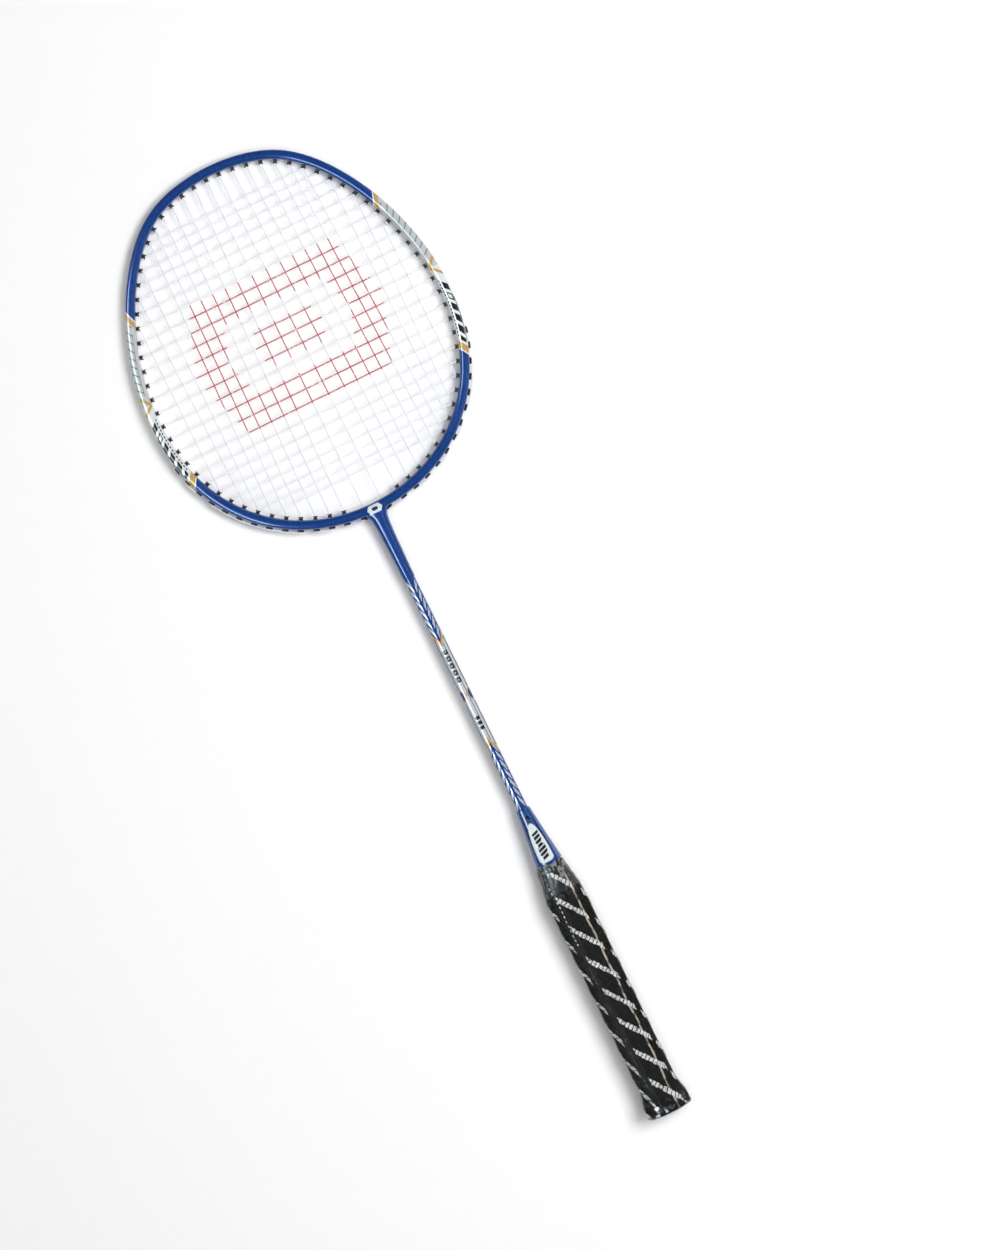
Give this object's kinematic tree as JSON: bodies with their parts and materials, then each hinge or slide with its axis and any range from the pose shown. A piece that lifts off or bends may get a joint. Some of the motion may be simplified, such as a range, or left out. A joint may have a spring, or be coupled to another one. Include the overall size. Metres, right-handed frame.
{
  "type": "badminton racket",
  "caption": "Strung badminton racket with an oval hollow head, T-joint, slim round shaft, tapered cone and a wrapped octagonal handle with a flared butt.",
  "frame": {"origin": "centre of the butt's flat end face", "axes": "+Y along the racket from the butt to the tip of the head, +X to the right seen from the front, +Z out of the front face, square to the string bed"},
  "size_m": [0.2106, 0.6699, 0.0288],
  "materials": {
    "frame_paint": "blue gloss enamel with silver and gold panels at both sides of the head",
    "joint_paint": "blue gloss enamel",
    "shaft_paint": "blue gloss enamel with a silver middle panel, gold chevrons and white slashes",
    "cone_plastic": "moulded blue ABS",
    "label_foil": "white printed foil",
    "grommet_nylon": "moulded black nylon",
    "string_nylon": "white translucent nylon, with a red printed emblem across the middle of the bed",
    "core_wood": "sanded beech",
    "cap_plastic": "moulded black ABS",
    "grip_cover": "black polyurethane grip, fine grained",
    "finishing_tape": "black vinyl tape",
    "clear_film": "clear heat-shrunk film with slanted white marks"
  },
  "bodies": {
    "root": {"head_frame": "frame_paint", "t_joint": "joint_paint", "shaft": "shaft_paint", "cone": "cone_plastic", "cone_label_front": "label_foil", "cone_label_back": "label_foil", "handle_core": "core_wood", "butt_cap": "cap_plastic", "butt_label": "label_foil", "grip_tape": "grip_cover", "finishing_tape": "finishing_tape", "grip_film": "clear_film", "main_string": "string_nylon", "cross_string": "string_nylon", "grommet_strip_left": "grommet_nylon", "grommet_strip_right": "grommet_nylon", "grommet_left_23": "grommet_nylon", "grommet_left_24": "grommet_nylon", "grommet_left_25": "grommet_nylon", "grommet_left_26": "grommet_nylon", "grommet_left_27": "grommet_nylon", "grommet_left_28": "grommet_nylon", "grommet_left_29": "grommet_nylon", "grommet_left_30": "grommet_nylon", "grommet_left_31": "grommet_nylon", "grommet_left_32": "grommet_nylon", "grommet_left_33": "grommet_nylon", "grommet_left_34": "grommet_nylon", "grommet_left_35": "grommet_nylon", "grommet_left_36": "grommet_nylon", "grommet_right_23": "grommet_nylon", "grommet_right_24": "grommet_nylon", "grommet_right_25": "grommet_nylon", "grommet_right_26": "grommet_nylon", "grommet_right_27": "grommet_nylon", "grommet_right_28": "grommet_nylon", "grommet_right_29": "grommet_nylon", "grommet_right_30": "grommet_nylon", "grommet_right_31": "grommet_nylon", "grommet_right_32": "grommet_nylon", "grommet_right_33": "grommet_nylon", "grommet_right_34": "grommet_nylon", "grommet_right_35": "grommet_nylon", "grommet_right_36": "grommet_nylon"}
  },
  "joints": []
}
